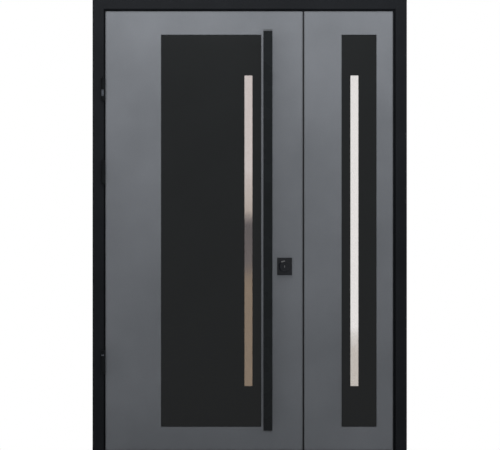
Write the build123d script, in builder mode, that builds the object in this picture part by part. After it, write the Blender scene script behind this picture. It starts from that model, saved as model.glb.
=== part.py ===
# One-and-a-half-leaf steel security door: a hinged main leaf beside a fixed side leaf, in one welded frame.
# Millimetres. X runs along the wall, +Y goes indoors, +Z is up. The origin is the middle of the sill's
# underside, half way through the frame's depth.
import os

from build123d import *

os.makedirs("parts", exist_ok=True)

# Frame
frame_width = 1400.0
frame_height = 2076.0
frame_depth = 120.0
frame_face = 51.0  # width of the front face of each member
frame_sheet = 2.0
frame_bend = 3.0  # outside radius of the folds
rebate_depth = 30.0  # from the front face back to the sealing step
rebate_step = 22.0  # how far the step stands in from the face's edge

# Gaps round the leaves
hinge_gap = 7.0
head_gap = 10.0
sill_gap = 10.0
side_gap = 11.0
meeting_gap = 6.0
meeting_lap = 16.0  # how far the main leaf's flange laps over the side leaf's box
bolt_edge_gap = 12.0  # between the two boxes behind that lap

# Leaves, from the outside in
side_leaf_width = 396.0
facing_thickness = 16.0
tray_sheet = 2.0
flange_thickness = 4.0  # outer sheet with its hem
rim_corner = 4.0  # outside radius at the leaf's corners
flange_width = 22.0  # how far the flange stands out round the box
box_depth = 60.0  # from the flange's back to the inner sheet
inner_sheet_thickness = 2.0
inner_facing_thickness = 12.0
facing_clearance = 0.5  # between a facing and the rim round it
edge_chamfer = 1.0

# Black inserts and glass
insert_margin = 104.0  # above and below each insert
main_insert_hinge_margin = 247.0
main_insert_lock_margin = 184.0
side_insert_width = 156.0
side_insert_meeting_margin = 167.0
insert_joint = 1.5  # open joint round an insert
slot_width = 36.0
slot_margin = 285.0  # above and below each glass slot
slot_insert_margin = 39.5  # from the slot to the near edge of its insert
rear_slot_margin = 4.0  # how much further out the liner's opening lies on the room side
pane_cover = 12.0  # hidden edge of the panes
pane_thickness = 6.0
pane_space = 16.0
pane_clearance = 0.3
spacer_inset = 3.0
spacer_width = 7.0
liner_wall = 3.0
liner_clearance = 0.3
bead_width = 6.0
bead_thickness = 2.0

# Pull bar
pull_bar_width = 40.0
pull_bar_depth = 20.0
pull_bar_wall = 2.0
pull_bar_corner = 2.0
pull_bar_margin = 88.0  # above and below the bar
pull_bar_lock_margin = 155.0  # from the bar's middle to the lock edge
pull_post_diameter = 24.0
pull_post_length = 50.0
pull_post_flange_diameter = 32.0
pull_post_flange_thickness = 6.0
pull_post_end_margin = 190.0
pull_post_count = 3

# Lock
lock_backset = 80.5
lock_height = 818.0  # above the leaf's bottom edge
lock_plate_width = 66.0
lock_plate_height = 78.0
lock_plate_thickness = 11.0
lock_plate_chamfer = 2.0
collar_diameter = 54.0
collar_proud = 5.0
collar_bevel_width = 5.5  # across the collar's front, catches the light as a ring
collar_bevel_depth = 2.4
rotor_diameter = 36.0
rotor_thickness = 4.5
rotor_clearance = 0.2
rotor_recess = 1.0
key_slot_width = 3.0
key_slot_height = 11.0
cylinder_diameter = 17.0
cylinder_leg_width = 10.0
cylinder_height = 33.0
cylinder_clearance = 0.5
keyway_depth = 6.0
faceplate_width = 24.0
faceplate_height = 300.0
faceplate_thickness = 3.0
faceplate_seat = 0.2
deadbolt_diameter = 18.0
deadbolt_pitch = 38.0
deadbolt_count = 4
deadbolt_length = 40.0
deadbolt_drop = 40.0  # middle of the row of deadbolts, below the cylinder
bolt_clearance = 0.4
bolt_recess = 0.5
latch_width = 12.0
latch_height = 26.0
strike_clearance = 1.5  # extra half width of the holes in the strike plate

# Room-side furniture
rose_side = 52.0
rose_thickness = 9.0
rose_corner = 3.0
lever_above_cylinder = 85.0
lever_neck_diameter = 20.0
lever_reach = 58.0  # from the facing to the grip's far side
lever_length = 128.0
lever_height = 22.0
lever_depth = 12.0
lever_corner = 5.0
lever_chamfer = 2.0
turn_stem_diameter = 14.0
turn_stem_length = 12.0
turn_width = 10.0
turn_height = 34.0
turn_depth = 16.0
turn_chamfer = 1.5

# Hinges
hinge_heights = (1608.0, 1239.0, 392.0)  # above the leaf's bottom edge, top to bottom
hinge_names = ("top", "middle", "bottom")
hinge_radius = 9.5
hinge_length = 98.0
hinge_strap = 4.0
hinge_strap_depth = 17.0  # how far the straps reach into the gap
hinge_face_clearance = 1.5
hinge_pin_radius = 5.5
hinge_running_clearance = 0.05
hinge_collar_radius = 8.5
hinge_collar_thickness = 3.0
hinge_thrust_gap = 0.3
hinge_cap = 6.0  # solid end of the upper knuckle
hinge_chamfer = 1.0

# Dog bolts on the hinge edge
dog_bolt_heights = (1420.0, 960.0, 560.0)
dog_bolt_radius = 6.0
dog_bolt_reach = 9.0  # into the jamb
dog_bolt_hole_radius = 10.0
dog_bolt_chamfer = 1.5

# Fixings
anchor_hole_radius = 6.5
anchor_inset = 14.0  # from the frame's back face
anchor_end_margin = 250.0  # from the outer anchors to the frame's ends
anchor_middle_offset = 258.0  # from the inner anchors to half the frame's height
shoot_bolt_radius = 7.0
shoot_bolt_reach = 12.0
shoot_bolt_clearance = 0.3
shoot_bolt_inset = 30.0  # from the meeting edge of the side leaf's box
packer_height = 60.0
packer_depth = 30.0
packer_heights = (1700.0, 980.0, 260.0)

# Seals
seal_width = 9.0
seal_clearance = 0.5
seal_step_inset = 15.5  # from the face's edge to the seal's middle

# Places worked out from the sizes above
front_y = -frame_depth / 2
back_y = frame_depth / 2
step_y = front_y + rebate_depth
tray_y = front_y + facing_thickness
flange_back_y = tray_y + flange_thickness
inner_sheet_y = flange_back_y + box_depth
inner_facing_y = inner_sheet_y + inner_sheet_thickness
leaf_back_y = inner_facing_y + inner_facing_thickness

member_width = frame_face + rebate_step
half_width = frame_width / 2
face_edge_x = half_width - frame_face
reveal_x = face_edge_x - rebate_step
leaf_bottom = frame_face + sill_gap
leaf_top = frame_height - frame_face - head_gap
leaf_height = leaf_top - leaf_bottom
leaf_middle = (leaf_top + leaf_bottom) / 2
box_bottom = leaf_bottom + flange_width
box_top = leaf_top - flange_width
box_height = box_top - box_bottom

main_left = -face_edge_x + hinge_gap
side_right = face_edge_x - side_gap
side_left = side_right - side_leaf_width
main_right = side_left - meeting_gap
main_box_left = main_left + flange_width
main_box_right = main_right - meeting_lap - bolt_edge_gap
side_box_left = main_right - meeting_lap
side_box_right = side_right - flange_width

insert_bottom = leaf_bottom + insert_margin
insert_top = leaf_top - insert_margin
main_insert_left = main_left + main_insert_hinge_margin
main_insert_right = main_right - main_insert_lock_margin
side_insert_left = side_left + side_insert_meeting_margin
side_insert_right = side_insert_left + side_insert_width
slot_height = leaf_height - 2 * slot_margin
main_slot_x = main_insert_right - slot_insert_margin - slot_width / 2
side_slot_x = side_insert_left + slot_insert_margin + slot_width / 2

pane_width = slot_width + 2 * pane_cover
pane_height = slot_height + 2 * pane_cover
unit_back_y = tray_y + 2 * pane_thickness + pane_space
liner_width = pane_width + 2 * (pane_clearance + liner_wall)
liner_height = pane_height + 2 * (pane_clearance + liner_wall)

pull_bar_x = main_right - pull_bar_lock_margin
pull_bar_length = leaf_height - 2 * pull_bar_margin
lock_x = main_right - lock_backset
lock_z = leaf_bottom + lock_height
lever_z = lock_z + lever_above_cylinder
collar_front_y = front_y - lock_plate_thickness - collar_proud
rotor_front_y = collar_front_y + rotor_recess
rotor_back_y = rotor_front_y + rotor_thickness
cylinder_front_y = rotor_back_y + cylinder_clearance
cylinder_back_y = leaf_back_y + rose_thickness
box_middle_y = (flange_back_y + inner_sheet_y) / 2
deadbolt_z = lock_z - deadbolt_drop
faceplate_z = (lever_z + latch_height / 2 + deadbolt_z - deadbolt_pitch * deadbolt_count / 2) / 2

hinge_x = main_left - hinge_radius
hinge_y = front_y - hinge_face_clearance - hinge_radius
strap_end_y = front_y + hinge_strap_depth


def upright(y):
    """The upright plane at depth y, facing outdoors: its x runs along X and its y up."""
    return Plane.XZ.offset(-y)


def crosswise(x):
    """The upright plane across the wall at x, facing +X: its x runs indoors and its y up."""
    return Plane.YZ.offset(x)


def span_rectangle(left, right, bottom, top, mode=Mode.ADD):
    """A rectangle between two sides and two heights."""
    with Locations(((left + right) / 2, (bottom + top) / 2)):
        Rectangle(right - left, top - bottom, mode=mode)


def leaf_outline(left, right, inset=0.0, mode=Mode.ADD):
    """A leaf's outline with its rounded corners, drawn in by an inset."""
    with Locations(((left + right) / 2, leaf_middle)):
        RectangleRounded(right - left - 2 * inset, leaf_height - 2 * inset, rim_corner - inset, mode=mode)


def save(builder, name):
    """Labels a finished piece and writes it."""
    builder.part.label = name
    export_step(builder.part, f"parts/{name}.step")


# Frame members: one folded hollow section, mitred at both ends
def frame_member(start, inward, run, length):
    """A mitred length of the section, with its outer front corner line from start along run."""
    plane = Plane(origin=start, x_dir=inward, z_dir=run)
    with BuildPart() as member:
        with BuildSketch(plane) as section:
            with BuildLine():
                Polyline(
                    (0, 0),
                    (frame_face, 0),
                    (frame_face, rebate_depth),
                    (member_width, rebate_depth),
                    (member_width, frame_depth),
                    (0, frame_depth),
                    close=True,
                )
            make_face()
            fillet(section.vertices(), frame_bend)
            offset(amount=-frame_sheet, mode=Mode.SUBTRACT)
        extrude(amount=length)
        split(bisect_by=Plane(plane.origin, z_dir=plane.z_dir - plane.x_dir), keep=Keep.TOP)
        end = plane.origin + plane.z_dir * length
        split(bisect_by=Plane(end, z_dir=plane.z_dir + plane.x_dir), keep=Keep.BOTTOM)
    return member.part


def anchor_holes():
    """The outlines of the wall anchors' holes, on a plane across the wall."""
    with Locations(*[(back_y - anchor_inset, z) for z in anchor_heights]):
        Circle(anchor_hole_radius)


anchor_heights = (
    anchor_end_margin,
    frame_height / 2 - anchor_middle_offset,
    frame_height / 2 + anchor_middle_offset,
    frame_height - anchor_end_margin,
)
left_foot = (-half_width, front_y, 0)
right_foot = (half_width, front_y, 0)
left_corner = (-half_width, front_y, frame_height)
right_corner = (half_width, front_y, frame_height)

with BuildPart() as frame_left_jamb:
    add(frame_member(left_foot, (1, 0, 0), (0, 0, 1), frame_height))
    with BuildSketch(crosswise(-half_width)):
        anchor_holes()
    extrude(amount=member_width, mode=Mode.SUBTRACT)
    with BuildSketch(crosswise(-reveal_x)):
        with Locations(*[(box_middle_y, leaf_bottom + z) for z in dog_bolt_heights]):
            Circle(dog_bolt_hole_radius)
    extrude(amount=-frame_sheet, mode=Mode.SUBTRACT)
save(frame_left_jamb, "frame_left_jamb")

with BuildPart() as frame_right_jamb:
    add(frame_member(right_corner, (-1, 0, 0), (0, 0, -1), frame_height))
    with BuildSketch(crosswise(half_width)):
        anchor_holes()
    extrude(amount=-member_width, mode=Mode.SUBTRACT)
save(frame_right_jamb, "frame_right_jamb")

shoot_bolt_x = side_box_left + shoot_bolt_inset


def shoot_bolt_outline(margin=0.0):
    """The section of a shoot bolt, grown by a margin, on a level plane."""
    with Locations((shoot_bolt_x, box_middle_y)):
        Circle(shoot_bolt_radius + margin)


inner_head_z = frame_height - member_width
inner_sill_z = member_width

with BuildPart() as frame_head:
    add(frame_member(left_corner, (0, 0, -1), (1, 0, 0), frame_width))
    with BuildSketch(Plane.XY.offset(inner_head_z)):
        shoot_bolt_outline(shoot_bolt_clearance)
    extrude(amount=frame_sheet, mode=Mode.SUBTRACT)
save(frame_head, "frame_head")

with BuildPart() as frame_sill:
    add(frame_member(right_foot, (0, 0, 1), (-1, 0, 0), frame_width))
    with BuildSketch(Plane.XY.offset(inner_sill_z)):
        shoot_bolt_outline(shoot_bolt_clearance)
    extrude(amount=-frame_sheet, mode=Mode.SUBTRACT)
save(frame_sill, "frame_sill")


# Seals: a half-round bulb on a square base, set on a face that looks outdoors
def seal_section():
    """The seal's section: base on the plane's x axis, bulb towards its y."""
    bulb_centre = seal_height - seal_width / 2
    with Locations((0, bulb_centre / 2)):
        Rectangle(seal_width, bulb_centre)
    with Locations((0, bulb_centre)):
        Circle(seal_width / 2)


seal_height = rebate_depth - facing_thickness - flange_thickness - seal_clearance
seal_x = face_edge_x - seal_step_inset
seal_bottom = frame_face + seal_step_inset
seal_top = frame_height - frame_face - seal_step_inset

with BuildPart() as frame_seal:
    with BuildLine(upright(step_y)):
        Polyline(
            (0, seal_bottom),
            (seal_x, seal_bottom),
            (seal_x, seal_top),
            (-seal_x, seal_top),
            (-seal_x, seal_bottom),
            close=True,
        )
    with BuildSketch(Plane(origin=(0, step_y, seal_bottom), x_dir=(0, 0, 1), z_dir=(1, 0, 0))):
        seal_section()
    sweep(transition=Transition.RIGHT)
save(frame_seal, "frame_seal")

meeting_seal_x = side_box_left + meeting_lap / 2

with BuildPart() as meeting_seal:
    with BuildSketch(Plane(origin=(meeting_seal_x, step_y, box_bottom), x_dir=(-1, 0, 0), z_dir=(0, 0, 1))):
        seal_section()
    extrude(amount=box_height)
save(meeting_seal, "meeting_seal")


# Leaf trays: a folded outer sheet with a rim round the facing, a hemmed flange and the walls of the box
def cylinder_outline(margin=0.0, mode=Mode.ADD):
    """The lock cylinder's section: a round barrel with a narrower leg below it."""
    leg_radius = cylinder_leg_width / 2
    leg_foot = cylinder_height - cylinder_diameter / 2 - leg_radius
    with Locations((lock_x, lock_z)):
        Circle(cylinder_diameter / 2 + margin, mode=mode)
    with Locations((lock_x, lock_z - leg_foot / 2)):
        SlotOverall(leg_foot + 2 * leg_radius + 2 * margin, 2 * (leg_radius + margin), rotation=90, mode=mode)


def liner_hole(x):
    """The cut-out for a glazing liner."""
    with Locations((x, leaf_middle)):
        Rectangle(
            liner_width + 2 * liner_clearance,
            liner_height + 2 * liner_clearance,
            mode=Mode.SUBTRACT,
        )


def faceplate_outline(margin=0.0):
    """The round-ended outline of the faceplate and the strike plate, grown by a margin."""
    with Locations((box_middle_y, faceplate_z)):
        SlotOverall(faceplate_height + 2 * margin, faceplate_width + 2 * margin, rotation=90)


with BuildPart() as main_tray:
    with BuildSketch(upright(flange_back_y)):
        leaf_outline(main_left, main_right)
        leaf_outline(main_left, main_right, tray_sheet, mode=Mode.SUBTRACT)
    extrude(amount=flange_back_y - front_y)
    with BuildSketch(upright(flange_back_y)):
        leaf_outline(main_left, main_right)
        span_rectangle(main_box_left, main_box_right, box_bottom, box_top, mode=Mode.SUBTRACT)
    extrude(amount=flange_thickness)
    with BuildSketch(upright(tray_y + tray_sheet)):
        leaf_outline(main_left, main_right)
    extrude(amount=tray_sheet)
    with BuildSketch(upright(inner_sheet_y)):
        span_rectangle(main_box_left, main_box_right, box_bottom, box_top)
        span_rectangle(
            main_box_left + tray_sheet,
            main_box_right - tray_sheet,
            box_bottom + tray_sheet,
            box_top - tray_sheet,
            mode=Mode.SUBTRACT,
        )
    extrude(amount=inner_sheet_y - tray_y)
    with BuildSketch(upright(flange_back_y)):
        with Locations((main_slot_x, leaf_middle)):
            Rectangle(liner_width + 2 * liner_clearance, liner_height + 2 * liner_clearance)
        cylinder_outline(cylinder_clearance)
    extrude(amount=flange_thickness, mode=Mode.SUBTRACT)
    with BuildSketch(crosswise(main_box_right)):
        faceplate_outline(faceplate_seat)
    extrude(amount=-tray_sheet, mode=Mode.SUBTRACT)
save(main_tray, "main_tray")

with BuildPart() as side_tray:
    with BuildSketch(upright(flange_back_y)):
        leaf_outline(side_left, side_right)
        leaf_outline(side_left, side_right, tray_sheet, mode=Mode.SUBTRACT)
    extrude(amount=flange_back_y - front_y)
    with BuildSketch(upright(flange_back_y)):
        leaf_outline(side_left, side_right)
        span_rectangle(side_left, side_box_right, box_bottom, box_top, mode=Mode.SUBTRACT)
    extrude(amount=flange_thickness)
    with BuildSketch(upright(tray_y + tray_sheet)):
        leaf_outline(side_left, side_right)
    extrude(amount=tray_sheet)
    with BuildSketch(upright(step_y + tray_sheet)):
        span_rectangle(side_left, side_box_right, box_bottom, box_top)
        span_rectangle(
            side_left + tray_sheet,
            side_box_right - tray_sheet,
            box_bottom + tray_sheet,
            box_top - tray_sheet,
            mode=Mode.SUBTRACT,
        )
    extrude(amount=step_y + tray_sheet - tray_y)
    with BuildSketch(upright(step_y + tray_sheet)):
        span_rectangle(side_box_left, side_left + tray_sheet, box_bottom, box_top)
    extrude(amount=tray_sheet)
    with BuildSketch(upright(inner_sheet_y)):
        span_rectangle(side_box_left, side_box_right, box_bottom, box_top)
        span_rectangle(
            side_box_left + tray_sheet,
            side_box_right - tray_sheet,
            box_bottom + tray_sheet,
            box_top - tray_sheet,
            mode=Mode.SUBTRACT,
        )
    extrude(amount=inner_sheet_y - step_y)
    with BuildSketch(upright(flange_back_y)):
        with Locations((side_slot_x, leaf_middle)):
            Rectangle(liner_width + 2 * liner_clearance, liner_height + 2 * liner_clearance)
    extrude(amount=flange_thickness, mode=Mode.SUBTRACT)
    with BuildSketch(crosswise(side_box_left)):
        faceplate_outline(faceplate_seat)
    extrude(amount=tray_sheet, mode=Mode.SUBTRACT)
save(side_tray, "side_tray")


# Flat layers of a leaf: facing with a window, insert, inner sheet, and the same again on the room side
def front_edges(part):
    """The edges of the face that looks outdoors."""
    return part.faces().sort_by(Axis.Y)[0].edges()


def back_edges(part):
    """The edges of the face that looks indoors."""
    return part.faces().sort_by(Axis.Y)[-1].edges()


def is_long(edge):
    """Whether an edge belongs to a panel's outline or window, not to the lock's hole."""
    return edge.length > 2 * cylinder_height


def outer_facing(left, right, insert_left, insert_right, locked):
    """The grey outer panel inside the tray's rim, with the window for the insert."""
    with BuildPart() as facing:
        with BuildSketch(upright(tray_y)):
            leaf_outline(left, right, tray_sheet + facing_clearance)
            span_rectangle(insert_left, insert_right, insert_bottom, insert_top, mode=Mode.SUBTRACT)
            if locked:
                cylinder_outline(cylinder_clearance, mode=Mode.SUBTRACT)
        extrude(amount=facing_thickness)
        chamfer(front_edges(facing).filter_by(is_long), edge_chamfer)
    return facing


def outer_insert(left, right, slot_x):
    """The black outer panel, with an open joint round it and the slot for the glass."""
    with BuildPart() as insert:
        with BuildSketch(upright(tray_y)):
            span_rectangle(
                left + insert_joint,
                right - insert_joint,
                insert_bottom + insert_joint,
                insert_top - insert_joint,
            )
            with Locations((slot_x, leaf_middle)):
                Rectangle(slot_width, slot_height, mode=Mode.SUBTRACT)
        extrude(amount=facing_thickness)
        chamfer(front_edges(insert), edge_chamfer)
    return insert


def inner_sheet(left, right, slot_x, locked):
    """The steel sheet that closes the box on the room side."""
    with BuildPart() as sheet:
        with BuildSketch(upright(inner_facing_y)):
            span_rectangle(left, right, box_bottom, box_top)
            liner_hole(slot_x)
            if locked:
                cylinder_outline(cylinder_clearance, mode=Mode.SUBTRACT)
        extrude(amount=inner_sheet_thickness)
    return sheet


def inner_facing(left, right, insert_left, insert_right, locked):
    """The grey panel on the room side, with the window for its insert."""
    with BuildPart() as facing:
        with BuildSketch(upright(leaf_back_y)):
            span_rectangle(left, right, box_bottom, box_top)
            span_rectangle(insert_left, insert_right, insert_bottom, insert_top, mode=Mode.SUBTRACT)
            if locked:
                cylinder_outline(cylinder_clearance, mode=Mode.SUBTRACT)
        extrude(amount=inner_facing_thickness)
        chamfer(back_edges(facing).filter_by(is_long), edge_chamfer)
    return facing


def inner_insert(left, right, slot_x):
    """The black panel on the room side, round the glazing liner."""
    with BuildPart() as insert:
        with BuildSketch(upright(leaf_back_y)):
            span_rectangle(
                left + insert_joint,
                right - insert_joint,
                insert_bottom + insert_joint,
                insert_top - insert_joint,
            )
            liner_hole(slot_x)
        extrude(amount=inner_facing_thickness)
    return insert


# Glazing: two panes and their spacer in a liner whose bead covers the joint on the room side
def panes(slot_x):
    """The outer and the inner sheet of glass."""
    with BuildPart() as glass:
        for pane_back_y in (tray_y + pane_thickness, unit_back_y):
            with BuildSketch(upright(pane_back_y)):
                with Locations((slot_x, leaf_middle)):
                    Rectangle(pane_width, pane_height)
            extrude(amount=pane_thickness)
    return glass


def pane_spacer(slot_x):
    """The bar between the two panes, all the way round."""
    outer = (pane_width - 2 * spacer_inset, pane_height - 2 * spacer_inset)
    with BuildPart() as spacer:
        with BuildSketch(upright(unit_back_y - pane_thickness)):
            with Locations((slot_x, leaf_middle)):
                Rectangle(*outer)
                Rectangle(outer[0] - 2 * spacer_width, outer[1] - 2 * spacer_width, mode=Mode.SUBTRACT)
        extrude(amount=pane_space)
    return spacer


def glazing_liner(slot_x):
    """The tube through the leaf that the glass sits in, stepped behind the glass, with its bead."""
    with BuildPart() as liner:
        with BuildSketch(upright(leaf_back_y)):
            with Locations((slot_x, leaf_middle)):
                Rectangle(liner_width, liner_height)
        extrude(amount=leaf_back_y - tray_y)
        with BuildSketch(upright(leaf_back_y + bead_thickness)):
            with Locations((slot_x, leaf_middle)):
                Rectangle(liner_width + 2 * bead_width, liner_height + 2 * bead_width)
        extrude(amount=bead_thickness)
        chamfer(back_edges(liner), edge_chamfer)
        with BuildSketch(upright(leaf_back_y + bead_thickness)):
            with Locations((slot_x, leaf_middle)):
                Rectangle(slot_width + 2 * rear_slot_margin, slot_height + 2 * rear_slot_margin)
        extrude(amount=leaf_back_y + bead_thickness - unit_back_y, mode=Mode.SUBTRACT)
        with BuildSketch(upright(unit_back_y)):
            with Locations((slot_x, leaf_middle)):
                Rectangle(pane_width + 2 * pane_clearance, pane_height + 2 * pane_clearance)
        extrude(amount=unit_back_y - tray_y, mode=Mode.SUBTRACT)
    return liner


# The two leaves share those layers
main_layers = (main_insert_left, main_insert_right)
side_layers = (side_insert_left, side_insert_right)

save(outer_facing(main_left, main_right, *main_layers, locked=True), "main_facing")
save(outer_facing(side_left, side_right, *side_layers, locked=False), "side_facing")
save(inner_sheet(main_box_left, main_box_right, main_slot_x, locked=True), "main_inner_sheet")
save(inner_sheet(side_box_left, side_box_right, side_slot_x, locked=False), "side_inner_sheet")
save(inner_facing(main_box_left, main_box_right, *main_layers, locked=True), "main_inner_facing")
save(inner_facing(side_box_left, side_box_right, *side_layers, locked=False), "side_inner_facing")

for leaf, layers, slot_x in (("main", main_layers, main_slot_x), ("side", side_layers, side_slot_x)):
    save(outer_insert(*layers, slot_x), f"{leaf}_insert")
    save(inner_insert(*layers, slot_x), f"{leaf}_inner_insert")
    save(panes(slot_x), f"{leaf}_panes")
    save(pane_spacer(slot_x), f"{leaf}_pane_spacer")
    save(glazing_liner(slot_x), f"{leaf}_glazing_liner")


# Pull bar: a capped rectangular tube on round posts
pull_bar_back_y = front_y - pull_post_length
post_spacing = (pull_bar_length - 2 * pull_post_end_margin) / (pull_post_count - 1)

with BuildPart() as pull_bar:
    with BuildSketch(Plane.XY.offset(leaf_bottom + pull_bar_margin)):
        with Locations((pull_bar_x, pull_bar_back_y - pull_bar_depth / 2)):
            RectangleRounded(pull_bar_width, pull_bar_depth, pull_bar_corner)
    extrude(amount=pull_bar_length)
    with BuildSketch(Plane.XY.offset(leaf_bottom + pull_bar_margin + pull_bar_wall)):
        with Locations((pull_bar_x, pull_bar_back_y - pull_bar_depth / 2)):
            Rectangle(pull_bar_width - 2 * pull_bar_wall, pull_bar_depth - 2 * pull_bar_wall)
    extrude(amount=pull_bar_length - 2 * pull_bar_wall, mode=Mode.SUBTRACT)
save(pull_bar, "pull_bar")

with BuildPart() as pull_bar_posts:
    with BuildSketch(upright(front_y)):
        with Locations((pull_bar_x, leaf_middle)):
            with GridLocations(1, post_spacing, 1, pull_post_count):
                Circle(pull_post_diameter / 2)
    extrude(amount=pull_post_length)
    with BuildSketch(upright(front_y)):
        with Locations((pull_bar_x, leaf_middle)):
            with GridLocations(1, post_spacing, 1, pull_post_count):
                Circle(pull_post_flange_diameter / 2)
    extrude(amount=pull_post_flange_thickness)
save(pull_bar_posts, "pull_bar_posts")

# Lock outside: armour plate with a round collar, and the slotted rotor inside it
with BuildPart() as lock_plate:
    with BuildSketch(upright(front_y)):
        with Locations((lock_x, lock_z)):
            Rectangle(lock_plate_width, lock_plate_height)
    extrude(amount=lock_plate_thickness)
    chamfer(front_edges(lock_plate), lock_plate_chamfer)
    with BuildSketch(upright(front_y - lock_plate_thickness)):
        with Locations((lock_x, lock_z)):
            Circle(collar_diameter / 2)
    extrude(amount=collar_proud)
    chamfer(
        front_edges(lock_plate),
        length=collar_bevel_width,
        length2=collar_bevel_depth,
        reference=lock_plate.faces().sort_by(Axis.Y)[0],
    )
    with BuildSketch(upright(rotor_back_y)):
        with Locations((lock_x, lock_z)):
            Circle(rotor_diameter / 2)
    extrude(amount=rotor_back_y - collar_front_y, mode=Mode.SUBTRACT)
    with BuildSketch(upright(front_y)):
        cylinder_outline(cylinder_clearance)
    extrude(amount=front_y - rotor_back_y, mode=Mode.SUBTRACT)
save(lock_plate, "lock_plate")

with BuildPart() as lock_rotor:
    with BuildSketch(upright(rotor_back_y)):
        with Locations((lock_x, lock_z)):
            Circle(rotor_diameter / 2 - rotor_clearance)
            SlotOverall(key_slot_height, key_slot_width, rotation=90, mode=Mode.SUBTRACT)
    extrude(amount=rotor_thickness)
save(lock_rotor, "lock_rotor")

with BuildPart() as lock_cylinder:
    with BuildSketch(upright(cylinder_back_y)):
        cylinder_outline()
    extrude(amount=cylinder_back_y - cylinder_front_y)
    with BuildSketch(upright(cylinder_front_y)):
        with Locations((lock_x, lock_z)):
            SlotOverall(key_slot_height, key_slot_width, rotation=90)
    extrude(amount=-keyway_depth, mode=Mode.SUBTRACT)
save(lock_cylinder, "lock_cylinder")

# Lock in the meeting edge: faceplate with the deadbolts and latch drawn back, and the strike plate they face


def bolt_holes(margin):
    """The outlines of the deadbolts and the latch, grown by a margin, on a plane across the wall."""
    with Locations((box_middle_y, deadbolt_z)):
        with GridLocations(1, deadbolt_pitch, 1, deadbolt_count):
            Circle(deadbolt_diameter / 2 + margin)
    with Locations((box_middle_y, lever_z)):
        Rectangle(latch_width + 2 * margin, latch_height + 2 * margin)


def edge_plate(face_x, inward, margin):
    """A round-ended plate let flush into the wall of a box, with holes for the bolts."""
    with BuildPart() as plate:
        with BuildSketch(crosswise(face_x)):
            faceplate_outline()
        extrude(amount=inward * faceplate_thickness)
        with BuildSketch(crosswise(face_x)):
            bolt_holes(margin)
        extrude(amount=inward * faceplate_thickness, mode=Mode.SUBTRACT)
    return plate


save(edge_plate(main_box_right, -1, bolt_clearance), "lock_faceplate")
save(edge_plate(side_box_left, 1, strike_clearance), "strike_plate")

with BuildPart() as lock_bolts:
    with BuildSketch(crosswise(main_box_right - bolt_recess)):
        bolt_holes(0)
    extrude(amount=-deadbolt_length)
save(lock_bolts, "lock_bolts")

# Room-side furniture: two square roses, the lever and the thumb turn
with BuildPart() as inside_roses:
    with BuildSketch(upright(leaf_back_y + rose_thickness)):
        with Locations((lock_x, lever_z), (lock_x, lock_z)):
            RectangleRounded(rose_side, rose_side, rose_corner)
    extrude(amount=rose_thickness)
    chamfer(inside_roses.faces().group_by(Axis.Y)[-1].edges(), edge_chamfer)
    with BuildSketch(upright(leaf_back_y + rose_thickness)):
        with Locations((lock_x, lever_z)):
            Circle(lever_neck_diameter / 2 + rotor_clearance)
        cylinder_outline(cylinder_clearance)
    extrude(amount=rose_thickness, mode=Mode.SUBTRACT)
save(inside_roses, "inside_roses")

grip_back_y = leaf_back_y + lever_reach

with BuildPart() as lever_handle:
    with BuildSketch(upright(grip_back_y)):
        with Locations((lock_x + lever_height / 2 - lever_length / 2, lever_z)):
            RectangleRounded(lever_length, lever_height, lever_corner)
    extrude(amount=lever_depth)
    chamfer(back_edges(lever_handle) + front_edges(lever_handle), lever_chamfer)
    with BuildSketch(upright(grip_back_y - lever_depth / 2)):
        with Locations((lock_x, lever_z)):
            Circle(lever_neck_diameter / 2)
    extrude(amount=lever_reach - lever_depth / 2)
save(lever_handle, "lever_handle")

with BuildPart() as thumb_turn:
    with BuildSketch(upright(cylinder_back_y + turn_stem_length + turn_depth)):
        with Locations((lock_x, lock_z)):
            SlotOverall(turn_height, turn_width, rotation=90)
    extrude(amount=turn_depth)
    chamfer(back_edges(thumb_turn), turn_chamfer)
    with BuildSketch(upright(cylinder_back_y + turn_stem_length + turn_depth / 2)):
        with Locations((lock_x, lock_z)):
            Circle(turn_stem_diameter / 2)
    extrude(amount=turn_stem_length + turn_depth / 2)
save(thumb_turn, "thumb_turn")


# Hinges: a strap in the gap and a knuckle in front of the jamb, upper half on the leaf, lower on the jamb
def pin_outline(radius):
    """A round section on the hinge axis, on a level plane."""
    with Locations((hinge_x, hinge_y)):
        Circle(radius)


def knuckle(strap_left, joint_z, end_z):
    """One hinge half from the joint to its chamfered end: the barrel and its strap from strap_left on."""
    with BuildPart() as half:
        with BuildSketch(Plane.XY.offset(joint_z)):
            pin_outline(hinge_radius)
        extrude(amount=end_z - joint_z)
        chamfer(half.edges().filter_by_position(Axis.Z, end_z, end_z), hinge_chamfer)
        with BuildSketch(Plane.XY.offset(joint_z)):
            with Locations((strap_left + hinge_strap / 2, (hinge_y + strap_end_y) / 2)):
                Rectangle(hinge_strap, strap_end_y - hinge_y)
        extrude(amount=end_z - joint_z)
    return half.part


for place, height in zip(hinge_names, hinge_heights):
    middle = leaf_bottom + height
    hinge_top = middle + hinge_length / 2
    hinge_foot = middle - hinge_length / 2
    thrust_top = middle + hinge_collar_thickness / 2
    thrust_foot = middle - hinge_collar_thickness / 2
    leaf_half_foot = thrust_top + hinge_thrust_gap
    with BuildPart() as hinge_leaf_half:
        add(knuckle(main_left - hinge_strap, leaf_half_foot, hinge_top))
        with BuildSketch(Plane.XY.offset(leaf_half_foot)):
            pin_outline(hinge_pin_radius)
        extrude(amount=hinge_top - hinge_cap - leaf_half_foot, mode=Mode.SUBTRACT)
    save(hinge_leaf_half, f"hinge_leaf_half_{place}")
    with BuildPart() as hinge_frame_half:
        add(knuckle(-face_edge_x, thrust_foot, hinge_foot))
        with BuildSketch(Plane.XY.offset(thrust_foot)):
            pin_outline(hinge_pin_radius)
        extrude(amount=-(thrust_foot - hinge_foot - hinge_cap), mode=Mode.SUBTRACT)
    save(hinge_frame_half, f"hinge_frame_half_{place}")

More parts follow.
